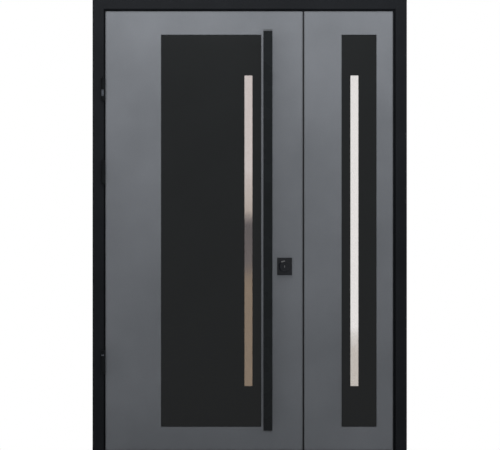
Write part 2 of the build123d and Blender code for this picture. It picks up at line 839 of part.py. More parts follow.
with BuildPart() as hinge_pins:
    for height in hinge_heights:
        middle = leaf_bottom + height
        pin_length = hinge_length - 2 * hinge_cap - 2 * hinge_running_clearance
        with BuildSketch(Plane.XY.offset(middle - pin_length / 2)):
            pin_outline(hinge_pin_radius - hinge_running_clearance)
        extrude(amount=pin_length)
        with BuildSketch(Plane.XY.offset(middle - hinge_collar_thickness / 2)):
            pin_outline(hinge_collar_radius)
        extrude(amount=hinge_collar_thickness)
save(hinge_pins, "hinge_pins")

# Dog bolts: fixed pins on the hinge edge that enter the jamb when the leaf closes
dog_bolt_length = main_box_left + reveal_x + dog_bolt_reach

with BuildPart() as dog_bolts:
    with BuildSketch(crosswise(main_box_left)):
        with Locations(*[(box_middle_y, leaf_bottom + z) for z in dog_bolt_heights]):
            Circle(dog_bolt_radius)
    extrude(amount=-dog_bolt_length)
    chamfer(dog_bolts.faces().group_by(Axis.X)[0].edges(), dog_bolt_chamfer)
save(dog_bolts, "dog_bolts")

# Fixings of the side leaf: shoot bolts into head and sill, packers against the right jamb
with BuildPart() as side_fixings:
    for wall_z, web_z, up in ((box_top, inner_head_z, 1), (box_bottom, inner_sill_z, -1)):
        with BuildSketch(Plane.XY.offset(wall_z)):
            shoot_bolt_outline()
        extrude(amount=up * (abs(web_z - wall_z) + shoot_bolt_reach))
    with BuildSketch(crosswise(side_box_right)):
        with Locations(*[(box_middle_y, leaf_bottom + z) for z in packer_heights]):
            Rectangle(packer_depth, packer_height)
    extrude(amount=reveal_x - side_box_right)
save(side_fixings, "side_fixings")
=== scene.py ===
import math

import bmesh
import bpy
from mathutils import Matrix, Vector


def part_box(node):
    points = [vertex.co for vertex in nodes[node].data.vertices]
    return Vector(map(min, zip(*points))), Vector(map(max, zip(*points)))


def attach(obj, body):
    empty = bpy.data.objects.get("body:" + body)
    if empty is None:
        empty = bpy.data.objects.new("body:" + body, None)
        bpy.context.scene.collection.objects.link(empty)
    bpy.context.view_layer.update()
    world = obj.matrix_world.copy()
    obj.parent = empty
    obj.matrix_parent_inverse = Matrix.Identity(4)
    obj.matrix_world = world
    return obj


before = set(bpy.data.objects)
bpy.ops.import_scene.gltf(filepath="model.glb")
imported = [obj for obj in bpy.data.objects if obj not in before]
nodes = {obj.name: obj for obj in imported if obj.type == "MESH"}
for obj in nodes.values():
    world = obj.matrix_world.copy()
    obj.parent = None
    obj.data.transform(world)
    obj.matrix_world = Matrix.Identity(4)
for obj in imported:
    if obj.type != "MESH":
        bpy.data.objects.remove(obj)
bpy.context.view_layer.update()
scene = bpy.context.scene
scene.view_settings.view_transform = "Standard"
print("door loaded:", len(nodes), "nodes")


# small tools for shader nodes

def newFinish(name):
    finish = bpy.data.materials.new(name)
    finish.use_nodes = True
    tree = finish.node_tree
    shader = tree.nodes["Principled BSDF"]
    coords = tree.nodes.new("ShaderNodeTexCoord").outputs["Object"]  # metres, so grain keeps its real size
    return finish, tree, shader, coords


def addNoise(tree, coords, scale, detail=2.0, stretch=(1.0, 1.0, 1.0)):
    mapping = tree.nodes.new("ShaderNodeMapping")
    mapping.inputs["Scale"].default_value = stretch
    noise = tree.nodes.new("ShaderNodeTexNoise")
    noise.inputs["Scale"].default_value = scale  # waves in a metre
    noise.inputs["Detail"].default_value = detail
    tree.links.new(coords, mapping.inputs["Vector"])
    tree.links.new(mapping.outputs["Vector"], noise.inputs["Vector"])
    return noise.outputs["Fac"]


def addRange(tree, value, low, high, start=0.3, end=0.7):
    spread = tree.nodes.new("ShaderNodeMapRange")
    spread.inputs["From Min"].default_value = start
    spread.inputs["From Max"].default_value = end
    spread.inputs["To Min"].default_value = low
    spread.inputs["To Max"].default_value = high
    tree.links.new(value, spread.inputs["Value"])
    return spread.outputs["Result"]


def addRamp(tree, value, dark, light, start=0.3, end=0.7):
    ramp = tree.nodes.new("ShaderNodeValToRGB")
    ramp.color_ramp.elements[0].position = start
    ramp.color_ramp.elements[0].color = (*dark, 1)
    ramp.color_ramp.elements[1].position = end
    ramp.color_ramp.elements[1].color = (*light, 1)
    tree.links.new(value, ramp.inputs["Fac"])
    return ramp.outputs["Color"]


mixSockets = {"share": 0, "under": 6, "over": 7, "result": 2}  # the Mix node's sockets for colours


def addTint(tree, share, under, over):
    mix = tree.nodes.new("ShaderNodeMix")
    mix.data_type = "RGBA"
    mix.inputs[mixSockets["over"]].default_value = (*over, 1)
    tree.links.new(share, mix.inputs[mixSockets["share"]])
    tree.links.new(under, mix.inputs[mixSockets["under"]])
    return mix.outputs[mixSockets["result"]]


def addMath(tree, operation, first, second):
    step = tree.nodes.new("ShaderNodeMath")
    step.operation = operation
    for socket, value in zip(step.inputs, (first, second)):
        if isinstance(value, (int, float)):
            socket.default_value = value
        else:
            tree.links.new(value, socket)
    return step.outputs[0]


def addBlend(tree, first, second, share):
    # two textures in one, share being the second's part
    kept = addMath(tree, "MULTIPLY", first, 1 - share)
    return addMath(tree, "ADD", kept, addMath(tree, "MULTIPLY", second, share))


def addBump(tree, height, depth, normal=None):
    bump = tree.nodes.new("ShaderNodeBump")
    bump.inputs["Distance"].default_value = depth
    tree.links.new(height, bump.inputs["Height"])
    if normal is not None:
        tree.links.new(normal, bump.inputs["Normal"])
    return bump.outputs["Normal"]


edgeMask = {"samples": 6, "fullEdge": 0.80, "plainFace": 0.995}  # cosines between a face and its softened normal


def addRoundEdges(tree, radius):
    # softened edge normals, and a mask that is 1 along the edges
    bevel = tree.nodes.new("ShaderNodeBevel")
    bevel.samples = edgeMask["samples"]
    bevel.inputs["Radius"].default_value = radius
    geometry = tree.nodes.new("ShaderNodeNewGeometry")
    dot = tree.nodes.new("ShaderNodeVectorMath")
    dot.operation = "DOT_PRODUCT"
    tree.links.new(bevel.outputs["Normal"], dot.inputs[0])
    tree.links.new(geometry.outputs["Normal"], dot.inputs[1])
    mask = addRange(tree, dot.outputs["Value"], 1.0, 0.0, edgeMask["fullEdge"], edgeMask["plainFace"])
    return bevel.outputs["Normal"], mask


ledgeMask = {"sloped": 0.60, "level": 0.95}  # Z of the normal where dust starts, and where it lies in full


def addUpward(tree):
    # 1 where a surface looks up, for settled dust
    geometry = tree.nodes.new("ShaderNodeNewGeometry")
    split = tree.nodes.new("ShaderNodeSeparateXYZ")
    tree.links.new(geometry.outputs["Normal"], split.inputs[0])
    return addRange(tree, split.outputs["Z"], 0.0, 1.0, ledgeMask["sloped"], ledgeMask["level"])


# finishes

def coatSteel(look):
    # powder coat: fine leather-like skin, cloudy tone, paler in patches along the edges (wear and a
    # painted edge highlight), dust on ledges
    finish, tree, shader, coords = newFinish(look["name"])
    rounded, edges = addRoundEdges(tree, look["edgeRadius"])
    cloud = addNoise(tree, coords, look["cloudScale"], detail=4.0)
    color = addRamp(tree, cloud, look["dark"], look["light"])
    # paler patches along the edges: partly wear, partly a painted highlight
    patches = addNoise(tree, coords, look["edgeWearAndHighlightScale"], detail=5.0)
    edgeWearAndHighlight = addRange(tree, patches, 0.0, look["edgeWearAndHighlight"], start=0.45, end=0.70)
    color = addTint(tree, addMath(tree, "MULTIPLY", edges, edgeWearAndHighlight), color, look["edgeWearAndHighlightColor"])
    drifts = addNoise(tree, coords, look["dustScale"], detail=6.0)
    dust = addRange(tree, drifts, 0.0, look["dust"], start=0.35, end=0.75)
    color = addTint(tree, addMath(tree, "MULTIPLY", addUpward(tree), dust), color, look["dustColor"])
    tree.links.new(color, shader.inputs["Base Color"])
    skin = addNoise(tree, coords, look["skinScale"])
    tree.links.new(addRange(tree, cloud, *look["roughness"]), shader.inputs["Roughness"])
    tree.links.new(addBump(tree, skin, look["skinDepth"], rounded), shader.inputs["Normal"])
    shader.inputs["Specular IOR Level"].default_value = look["specular"]
    return finish


frameCoat = coatSteel({
    "name": "frame_black_coat",
    "dark": (0.0058, 0.0066, 0.0080),
    "light": (0.0080, 0.0090, 0.0108),
    "roughness": (0.46, 0.58),
    "specular": 0.05,
    "cloudScale": 5.0,
    "skinScale": 850.0,
    "skinDepth": 0.00024,
    "edgeRadius": 0.0016,
    "edgeWearAndHighlight": 0.22,
    "edgeWearAndHighlightScale": 24.0,
    "edgeWearAndHighlightColor": (0.055, 0.057, 0.060),
    "dust": 0.07,
    "dustScale": 60.0,
    "dustColor": (0.16, 0.15, 0.135),
})

leafCoat = coatSteel({
    "name": "leaf_grey_coat",
    "dark": (0.110, 0.117, 0.129),
    "light": (0.122, 0.129, 0.143),
    "roughness": (0.44, 0.56),
    "specular": 0.15,
    "cloudScale": 4.0,
    "skinScale": 900.0,
    "skinDepth": 0.00020,
    "edgeRadius": 0.0012,
    "edgeWearAndHighlight": 0.30,
    "edgeWearAndHighlightScale": 20.0,
    "edgeWearAndHighlightColor": (0.24, 0.245, 0.25),
    "dust": 0.22,
    "dustScale": 55.0,
    "dustColor": (0.30, 0.285, 0.26),
})

hardwareCoat = coatSteel({
    "name": "hardware_black_coat",
    "dark": (0.0038, 0.0051, 0.0060),
    "light": (0.0056, 0.0072, 0.0084),
    "roughness": (0.24, 0.30),
    "specular": 0.10,
    "cloudScale": 9.0,
    "skinScale": 1300.0,
    "skinDepth": 0.00005,
    "edgeRadius": 0.0010,
    "edgeWearAndHighlight": 0.18,
    "edgeWearAndHighlightScale": 40.0,
    "edgeWearAndHighlightColor": (0.060, 0.062, 0.066),
    "dust": 0.16,
    "dustScale": 80.0,
    "dustColor": (0.14, 0.13, 0.12),
})

hingeCoat = coatSteel({
    "name": "hinge_black_coat",
    "dark": (0.0036, 0.0044, 0.0052),
    "light": (0.0052, 0.0062, 0.0072),
    "roughness": (0.30, 0.38),
    "specular": 0.05,
    "cloudScale": 20.0,
    "skinScale": 1300.0,
    "skinDepth": 0.00005,
    "edgeRadius": 0.0008,
    "edgeWearAndHighlight": 0.08,
    "edgeWearAndHighlightScale": 60.0,
    "edgeWearAndHighlightColor": (0.060, 0.062, 0.066),
    "dust": 0.10,
    "dustScale": 80.0,
    "dustColor": (0.14, 0.13, 0.12),
})

lockCoat = coatSteel({
    "name": "lock_black_coat",
    "dark": (0.0046, 0.0054, 0.0076),
    "light": (0.0064, 0.0074, 0.0102),
    "roughness": (0.20, 0.27),
    "specular": 0.16,
    "cloudScale": 30.0,
    "skinScale": 1500.0,
    "skinDepth": 0.00004,
    "edgeRadius": 0.0007,
    "edgeWearAndHighlight": 0.60,
    "edgeWearAndHighlightScale": 70.0,
    "edgeWearAndHighlightColor": (0.085, 0.088, 0.094),
    "dust": 0.12,
    "dustScale": 90.0,
    "dustColor": (0.14, 0.13, 0.12),
})


def filmBoard(look):
    # matte film on board: sanded micro grain, faint drawn lines, soft edges with a painted highlight along
    # them
    finish, tree, shader, coords = newFinish(look["name"])
    rounded, edges = addRoundEdges(tree, look["edgeRadius"])
    cloud = addNoise(tree, coords, look["cloudScale"], detail=3.0)
    fleck = addNoise(tree, coords, look["fleckScale"], detail=3.0)
    color = addRamp(tree, addBlend(tree, cloud, fleck, share=0.4), look["dark"], look["light"])
    # painted highlight: the edges paler all along
    color = addTint(tree, addMath(tree, "MULTIPLY", edges, look["paintedEdgeHighlight"]), color, look["edgeHighlightColor"])
    tree.links.new(color, shader.inputs["Base Color"])
    grain = addBump(tree, addNoise(tree, coords, look["grainScale"]), look["grainDepth"], rounded)
    drawn = addNoise(tree, coords, look["drawnScale"], stretch=(1.0, 1.0, look["drawnStretch"]))
    tree.links.new(addBump(tree, drawn, look["drawnDepth"], grain), shader.inputs["Normal"])
    tree.links.new(addRange(tree, cloud, *look["roughness"]), shader.inputs["Roughness"])
    shader.inputs["Specular IOR Level"].default_value = look["specular"]
    return finish


greyFilm = filmBoard({
    "name": "grey_film_board",
    "dark": (0.095, 0.102, 0.113),
    "light": (0.137, 0.146, 0.162),
    "roughness": (0.48, 0.60),
    "specular": 0.15,
    "cloudScale": 3.2,
    "fleckScale": 420.0,
    "grainScale": 1500.0,
    "grainDepth": 0.00012,
    "drawnScale": 700.0,
    "drawnStretch": 0.03,
    "drawnDepth": 0.00008,
    "edgeRadius": 0.0012,
    "paintedEdgeHighlight": 0.25,
    "edgeHighlightColor": (0.22, 0.225, 0.235),
})

blackLaminate = filmBoard({
    "name": "black_laminate",
    "dark": (0.0022, 0.0030, 0.0034),
    "light": (0.0034, 0.0044, 0.0049),
    "roughness": (0.20, 0.27),
    "specular": 0.19,
    "cloudScale": 3.0,
    "fleckScale": 600.0,
    "grainScale": 1800.0,
    "grainDepth": 0.00002,
    "drawnScale": 500.0,
    "drawnStretch": 0.05,
    "drawnDepth": 0.00001,
    "edgeRadius": 0.0010,
    "paintedEdgeHighlight": 0.20,
    "edgeHighlightColor": (0.030, 0.031, 0.033),
})


def paneGlass(look):
    # toughened glass: a trace of roller wave, and a painted reflection of a room, warm and changing softly
    # with height
    finish, tree, shader, coords = newFinish(look["name"])
    film = addNoise(tree, coords, look["bandWobbleScale"], detail=3.0)
    split = tree.nodes.new("ShaderNodeSeparateXYZ")
    tree.links.new(coords, split.inputs[0])
    # the height, wobbled a little, picks the painted reflection's tone
    height = addMath(tree, "ADD", split.outputs["Z"], addRange(tree, film, -look["drift"], look["drift"]))
    (low, foot), *between, (high, head) = look["paintedReflection"]
    ramp = tree.nodes.new("ShaderNodeValToRGB")
    ramp.color_ramp.elements[0].color = (*foot, 1)
    ramp.color_ramp.elements[1].color = (*head, 1)
    for level, reflectedTone in between:
        ramp.color_ramp.elements.new((level - low) / (high - low)).color = (*reflectedTone, 1)
    tree.links.new(addRange(tree, height, 0.0, 1.0, low, high), ramp.inputs["Fac"])
    tree.links.new(ramp.outputs["Color"], shader.inputs["Base Color"])
    wave = addNoise(tree, coords, look["waveScale"], detail=1.0, stretch=look["waveStretch"])
    tree.links.new(addBump(tree, wave, look["waveDepth"]), shader.inputs["Normal"])
    shader.inputs["Roughness"].default_value = 0.0
    shader.inputs["Transmission Weight"].default_value = 1.0
    shader.inputs["IOR"].default_value = look["ior"]
    return finish


mainGlass = paneGlass({
    "name": "main_slot_glass",
    # painted reflection of a room: pale above, darker and browner low
    "paintedReflection": [  # heights in metres
        (0.80, (0.425, 0.360, 0.295)),
        (0.91, (0.300, 0.268, 0.262)),
        (1.06, (0.270, 0.245, 0.245)),
        (1.12, (0.625, 0.575, 0.540)),
        (1.32, (0.735, 0.690, 0.675)),
    ],
    "drift": 0.03,
    "ior": 1.5,
    "bandWobbleScale": 9.0,
    "waveScale": 6.0,
    "waveStretch": (1.0, 1.0, 0.25),
    "waveDepth": 0.00004,
})

sideGlass = paneGlass({
    "name": "side_slot_glass",
    # painted reflection: paler above
    "paintedReflection": [
        (0.50, (0.705, 0.675, 0.645)),
        (0.62, (0.865, 0.850, 0.840)),
    ],
    "drift": 0.03,
    "ior": 1.5,
    "bandWobbleScale": 9.0,
    "waveScale": 6.0,
    "waveStretch": (1.0, 1.0, 0.25),
    "waveDepth": 0.00004,
})


def drawSteel(look):
    # bare metal: lines drawn along its length, darker stains, uneven polish
    finish, tree, shader, coords = newFinish(look["name"])
    rounded, edges = addRoundEdges(tree, look["edgeRadius"])
    lines = addNoise(tree, coords, look["lineScale"], detail=3.0, stretch=look["lineStretch"])
    stain = addNoise(tree, coords, look["stainScale"], detail=5.0)
    color = addRamp(tree, addBlend(tree, lines, stain, share=0.5), look["dark"], look["light"])
    tree.links.new(color, shader.inputs["Base Color"])
    rough = addRange(tree, lines, *look["roughness"])
    rubbed = addMath(tree, "MULTIPLY", edges, look["edgePolish"])
    tree.links.new(addMath(tree, "SUBTRACT", rough, rubbed), shader.inputs["Roughness"])
    tree.links.new(addBump(tree, lines, look["lineDepth"], rounded), shader.inputs["Normal"])
    shader.inputs["Metallic"].default_value = 1.0
    return finish


bareSteel = drawSteel({
    "name": "bare_drawn_steel",
    "dark": (0.33, 0.33, 0.335),
    "light": (0.52, 0.52, 0.52),
    "roughness": (0.28, 0.44),
    "lineScale": 900.0,
    "lineStretch": (1.0, 1.0, 0.02),
    "lineDepth": 0.00003,
    "stainScale": 22.0,
    "edgeRadius": 0.0008,
    "edgePolish": 0.10,
})

zincSteel = drawSteel({
    "name": "zinc_screw_steel",
    "dark": (0.36, 0.365, 0.38),
    "light": (0.56, 0.565, 0.58),
    "roughness": (0.26, 0.40),
    "lineScale": 1600.0,
    "lineStretch": (1.0, 1.0, 1.0),
    "lineDepth": 0.00002,
    "stainScale": 140.0,
    "edgeRadius": 0.0004,
    "edgePolish": 0.08,
})

darkNickel = drawSteel({
    "name": "dark_nickel",
    "dark": (0.056, 0.062, 0.072),
    "light": (0.092, 0.100, 0.116),
    "roughness": (0.30, 0.42),
    "lineScale": 1400.0,
    "lineStretch": (1.0, 1.0, 0.03),
    "lineDepth": 0.00002,
    "stainScale": 90.0,
    "edgeRadius": 0.0005,
    "edgePolish": 0.08,
})

satinNickel = drawSteel({
    "name": "satin_nickel",
    "dark": (0.19, 0.19, 0.195),
    "light": (0.30, 0.30, 0.305),
    "roughness": (0.30, 0.42),
    "lineScale": 1200.0,
    "lineStretch": (1.0, 0.04, 1.0),
    "lineDepth": 0.00002,
    "stainScale": 70.0,
    "edgeRadius": 0.0006,
    "edgePolish": 0.08,
})

blackScrew = drawSteel({
    "name": "black_oxide_screw",
    "dark": (0.020, 0.021, 0.023),
    "light": (0.042, 0.043, 0.046),
    "roughness": (0.34, 0.50),
    "lineScale": 1500.0,
    "lineStretch": (1.0, 1.0, 1.0),
    "lineDepth": 0.00002,
    "stainScale": 160.0,
    "edgeRadius": 0.0004,
    "edgePolish": 0.10,
})

spacerMetal = drawSteel({
    "name": "spacer_mill_aluminium",
    "dark": (0.44, 0.45, 0.46),
    "light": (0.60, 0.61, 0.62),
    "roughness": (0.30, 0.45),
    "lineScale": 1200.0,
    "lineStretch": (1.0, 0.05, 1.0),
    "lineDepth": 0.00003,
    "stainScale": 30.0,
    "edgeRadius": 0.0005,
    "edgePolish": 0.05,
})


def softRubber(look):
    # extruded rubber: dull skin with faint lines and bloom
    finish, tree, shader, coords = newFinish(look["name"])
    bloom = addNoise(tree, coords, look["bloomScale"], detail=5.0)
    color = addRamp(tree, bloom, look["dark"], look["light"], start=0.35, end=0.75)
    tree.links.new(color, shader.inputs["Base Color"])
    skin = addNoise(tree, coords, look["skinScale"], detail=3.0)
    tree.links.new(addBump(tree, skin, look["skinDepth"]), shader.inputs["Normal"])
    tree.links.new(addRange(tree, bloom, *look["roughness"]), shader.inputs["Roughness"])
    shader.inputs["Specular IOR Level"].default_value = look["specular"]
    return finish


sealRubber = softRubber({
    "name": "seal_black_rubber",
    "dark": (0.0075, 0.0075, 0.0080),
    "light": (0.0160, 0.0158, 0.0160),
    "roughness": (0.62, 0.78),
    "specular": 0.12,
    "bloomScale": 35.0,
    "skinScale": 1100.0,
    "skinDepth": 0.00012,
})

linerPlastic = softRubber({
    "name": "liner_black_plastic",
    "dark": (0.0100, 0.0102, 0.0110),
    "light": (0.0140, 0.0143, 0.0152),
    "roughness": (0.46, 0.58),
    "specular": 0.16,
    "bloomScale": 12.0,
    "skinScale": 1700.0,
    "skinDepth": 0.00005,
})

hingePlaces = ("top", "middle", "bottom")
nodeFinishes = [
    (frameCoat, ["frame_head", "frame_sill", "frame_left_jamb", "frame_right_jamb"]),
    (leafCoat, ["main_tray", "side_tray", "main_inner_sheet", "side_inner_sheet"]),
    (greyFilm, ["main_facing", "side_facing", "main_inner_facing", "side_inner_facing"]),
    (blackLaminate, ["main_insert", "side_insert", "main_inner_insert", "side_inner_insert"]),
    (mainGlass, ["main_panes"]),
    (sideGlass, ["side_panes"]),
    (spacerMetal, ["main_pane_spacer", "side_pane_spacer"]),
    (linerPlastic, ["main_glazing_liner", "side_glazing_liner"]),
    (sealRubber, ["frame_seal", "meeting_seal"]),
    (bareSteel, ["lock_faceplate", "strike_plate", "lock_bolts", "dog_bolts", "side_fixings"]),
    (satinNickel, ["lock_cylinder"]),
    (lockCoat, ["lock_plate", "lock_rotor"]),
    (hardwareCoat, ["pull_bar", "pull_bar_posts", "inside_roses", "lever_handle", "thumb_turn"]),
    (hingeCoat, [f"hinge_leaf_half_{place}" for place in hingePlaces]),
    (hingeCoat, [f"hinge_frame_half_{place}" for place in hingePlaces]),
    (hingeCoat, ["hinge_pins"]),
]
dressed = set()
for finish, names in nodeFinishes:
    for name in names:
        nodes[name].data.materials.clear()
        nodes[name].data.materials.append(finish)
        dressed.add(name)
print("finishes on", len(dressed), "nodes, left plain:", sorted(set(nodes) - dressed))


# small tools for meshes

def facing(point, outward):
    # local Z runs along outward from point
    turn = Vector(outward).to_track_quat("Z", "Y").to_matrix().to_4x4()
    return Matrix.Translation(Vector(point)) @ turn


def ringPoints(radius, height, sides, flats=0):
    # a round ring, or a ring with flats, at the same angles
    points = []
    for step in range(sides):
        angle = 2 * math.pi * step / sides
        reach = radius
        if flats:
            half = math.pi / flats
            reach = radius * math.cos(half) / math.cos(angle % (2 * half) - half)
        points.append(Vector((reach * math.cos(angle), reach * math.sin(angle), height)))
    return points


def joinRings(mesh, rings, place, closed=False):
    # skins a list of rings; closed joins the last to the first, else both ends are capped
    loops = [[mesh.verts.new(place @ point) for point in ring] for ring in rings]
    pairs = list(zip(loops, loops[1:]))
    if closed:
        pairs.append((loops[-1], loops[0]))
    for lower, upper in pairs:
        count = len(lower)
        for step in range(count):
            after = (step + 1) % count
            mesh.faces.new((lower[step], lower[after], upper[after], upper[step]))
    if not closed:
        mesh.faces.new(list(reversed(loops[0])))
        mesh.faces.new(loops[-1])


def addPiece(name, mesh, finish, body, sharpFrom=32.0):
    # edges that turn by more than sharpFrom degrees stay crisp
    bmesh.ops.recalc_face_normals(mesh, faces=mesh.faces)
    data = bpy.data.meshes.new(name)
    mesh.to_mesh(data)
    mesh.free()
    data.shade_smooth()
    data.set_sharp_from_angle(angle=math.radians(sharpFrom))
    data.materials.append(finish)
    piece = bpy.data.objects.new(name, data)
    scene.collection.objects.link(piece)
    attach(piece, body)


screwForm = {  # shares of the head's radius and rise, then of the socket's radius and depth
    "wallRise": 0.35, "rim": 0.90, "rimRise": 0.80, "crown": 0.74,
    "mouth": 1.08, "mouthDepth": 0.12, "tip": 0.15, "tipDepth": 1.15,
    "flats": 6,
}


def socketScrew(mesh, point, outward, look):
    # turned head with a hexagon socket, seated a little into the surface
    form, flats = screwForm, screwForm["flats"]
    radius, proud, seat = look["headRadius"], look["proud"], look["seat"]
    socket, depth, sides = look["socketRadius"], look["socketDepth"], look["sides"]
    rings = [
        ringPoints(radius, -seat, sides),
        ringPoints(radius, proud * form["wallRise"], sides),
        ringPoints(radius * form["rim"], proud * form["rimRise"], sides),
        ringPoints(radius * form["crown"], proud, sides),
        ringPoints(socket * form["mouth"], proud, sides, flats),
        ringPoints(socket, proud - depth * form["mouthDepth"], sides, flats),
        ringPoints(socket, proud - depth, sides, flats),
        ringPoints(socket * form["tip"], proud - depth * form["tipDepth"], sides),
    ]
    joinRings(mesh, rings, facing(point, outward))


# hinges: end caps, strap screws and the small plates on the top and bottom knuckles
hingeLook = {
    "capHeight": 0.0030,
    "capSides": 36,
    "capProfile": [  # shares of the barrel's radius and the cap's height: foot, groove, rim, crown
        (0.90, -0.10), (0.90, 0.08), (0.84, 0.14), (0.84, 0.24), (0.90, 0.30),
        (0.90, 0.55), (0.80, 0.82), (0.55, 0.96), (0.12, 1.0),
    ],
    "strap": 0.0040,  # thickness
    "gap": 0.0070,  # between leaf and jamb
    "screwInset": 0.0085,  # from the facing back to the screws
    "screwSpread": 0.22,  # share of a half's height, from its ends
}
strapScrew = {
    "headRadius": 0.0036, "proud": 0.0005, "seat": 0.0006,
    "socketRadius": 0.0017, "socketDepth": 0.0010, "sides": 24,
}
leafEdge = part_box("main_tray")[0].x
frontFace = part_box("main_tray")[0].y


def hingeAxis(node):
    low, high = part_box(node)
    radius = (high.x - low.x) / 2
    return Vector((low.x + radius, low.y + radius, 0)), radius, low.z, high.z


def hingeTrim(half, body, up):
    # a cap on the free end of each knuckle of one half, and two screws in each strap
    tall, sides, spread = up * hingeLook["capHeight"], hingeLook["capSides"], hingeLook["screwSpread"]
    strapFace = leafEdge - hingeLook["strap"]
    if up < 0:
        strapFace = leafEdge - hingeLook["gap"] + hingeLook["strap"]
    caps, screws = bmesh.new(), bmesh.new()
    for place in hingePlaces:
        axis, radius, foot, head = hingeAxis(f"hinge_{half}_half_{place}")
        end = head if up > 0 else foot
        rings = [ringPoints(radius * share, tall * rise, sides) for share, rise in hingeLook["capProfile"]]
        joinRings(caps, rings, Matrix.Translation((axis.x, axis.y, end)))
        for share in (spread, 1 - spread):
            spot = (strapFace, frontFace + hingeLook["screwInset"], foot + share * (head - foot))
            socketScrew(screws, spot, (-up, 0, 0), strapScrew)
    addPiece(f"hinge_{half}_caps", caps, hingeCoat, body)
    addPiece(f"hinge_{half}_screws", screws, zincSteel, body)


hingeTrim("leaf", "main_leaf", 1)
hingeTrim("frame", "frame", -1)

plateLook = {
    "width": 0.0132,
    "proud": 0.0006,  # little enough to pass the jamb when the leaf is open
    "steps": 14,
    "corner": 0.0005,
    "cornerSteps": 2,
    "cornerFrom": 40.0,  # degrees that an edge turns by to get a corner
}
plateScrew = {
    "headRadius": 0.0024, "proud": 0.0001, "seat": 0.0006,
    "socketRadius": 0.0012, "socketDepth": 0.0009, "sides": 18,
}
coverScrew = {
    "headRadius": 0.0016, "proud": 0.0001, "seat": 0.0006,
    "socketRadius": 0.0008, "socketDepth": 0.0007, "sides": 18,
}
hingePlates = [  # turn is in degrees round the barrel, towards the jamb
    {"name": "hinge_adjusting_plate", "node": "hinge_frame_half_top", "body": "frame",
     "turn": -34.0, "drop": 0.0006, "height": 0.0285, "screws": (0.17, 0.83), "screw": plateScrew},
    {"name": "hinge_cover_plate", "node": "hinge_leaf_half_bottom", "body": "main_leaf",
     "turn": -20.0, "drop": 0.0156, "height": 0.0048, "screws": (0.50,), "screw": coverScrew},
]


def hingePlate(look):
    # a saddle of dark nickel on a knuckle, held by small socket screws
    axis, radius, _, head = hingeAxis(look["node"])
    outer, inner = radius + plateLook["proud"], radius - plateLook["proud"]
    top = head - look["drop"]
    bottom = top - look["height"]
    spread = plateLook["width"] / outer
    middle = -math.pi / 2 + math.radians(look["turn"])
    plate, screws = bmesh.new(), bmesh.new()
    rings = []
    for step in range(plateLook["steps"] + 1):
        angle = middle + spread * (step / plateLook["steps"] - 0.5)
        ray = Vector((math.cos(angle), math.sin(angle), 0))
        spots = [(outer, bottom), (outer, top), (inner, top), (inner, bottom)]
        rings.append([axis + ray * reach + Vector((0, 0, z)) for reach, z in spots])
    joinRings(plate, rings, Matrix.Identity(4))
    turned = math.radians(plateLook["cornerFrom"])
    sharp = [edge for edge in plate.edges if edge.calc_face_angle(0) > turned]
    bmesh.ops.bevel(
        plate, geom=sharp, offset=plateLook["corner"], segments=plateLook["cornerSteps"],
        profile=0.5, affect="EDGES",
    )
    out = Vector((math.cos(middle), math.sin(middle), 0))
    for share in look["screws"]:
        spot = axis + out * outer + Vector((0, 0, bottom + share * (top - bottom)))
        socketScrew(screws, spot, out, look["screw"])
    addPiece(look["name"], plate, darkNickel, look["body"])
    addPiece(look["name"] + "_screws", screws, blackScrew, look["body"])


for plate in hingePlates:
    hingePlate(plate)
print("hinges dressed")

# pull bar: plugs in its ends, grub screws in the posts
barLook = {
    "plugInset": 0.0006,
    "plugHeight": 0.0005,
    "plugProfile": [  # further insets and rises, as shares of those two: neck, step, rounded face
        (1.6, -0.2), (1.6, 0.2), (0.0, 0.2), (0.0, 0.72), (0.5, 0.92), (1.4, 1.0),
    ],
    "corner": 0.0020,
    "cornerSteps": 4,
    "flangeRadius": 0.0160,
    "postRadius": 0.0120,
    "grubOut": 0.0280,  # from the facing to the grub screws
}
grubScrew = {
    "headRadius": 0.0030, "proud": 0.0003, "seat": 0.0010,
    "socketRadius": 0.0016, "socketDepth": 0.0010, "sides": 24,
}


def barOutline(low, high, inset, z):
    # a level ring round the bar's rounded section
    points = []
    corner, steps = barLook["corner"], barLook["cornerSteps"]
    left, right = low.x + inset + corner, high.x - inset - corner
    front, back = low.y + inset + corner, high.y - inset - corner
    for x, y, start in ((right, back, 0), (left, back, 90), (left, front, 180), (right, front, 270)):
        for step in range(steps + 1):
            angle = math.radians(start + 90 * step / steps)
            points.append(Vector((x + corner * math.cos(angle), y + corner * math.sin(angle), z)))
    return points


def pullBarDetails():
    low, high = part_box("pull_bar")
    plugs, grubs = bmesh.new(), bmesh.new()
    inset, tall = barLook["plugInset"], barLook["plugHeight"]
    for z, up in ((low.z, -1), (high.z, 1)):
        rings = [
            barOutline(low, high, inset * (1 + share), z + up * tall * rise)
            for share, rise in barLook["plugProfile"]
        ]
        joinRings(plugs, rings, Matrix.Identity(4))
    postLow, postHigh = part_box("pull_bar_posts")
    reach = barLook["flangeRadius"]
    for z in (postLow.z + reach, (postLow.z + postHigh.z) / 2, postHigh.z - reach):
        spot = ((low.x + high.x) / 2, postHigh.y - barLook["grubOut"], z - barLook["postRadius"])
        socketScrew(grubs, spot, (0, 0, -1), grubScrew)
    addPiece("pull_bar_end_plugs", plugs, linerPlastic, "main_leaf")
    addPiece("pull_bar_grub_screws", grubs, blackScrew, "main_leaf")


pullBarDetails()
print("pull bar dressed")

# lock outside: a turned boss round the key slot
bossLook = {
    "outer": 0.0125,
    "inner": 0.0075,
    "proud": 0.0009,
    "chamfer": 0.0006,
    "sides": 48,
}


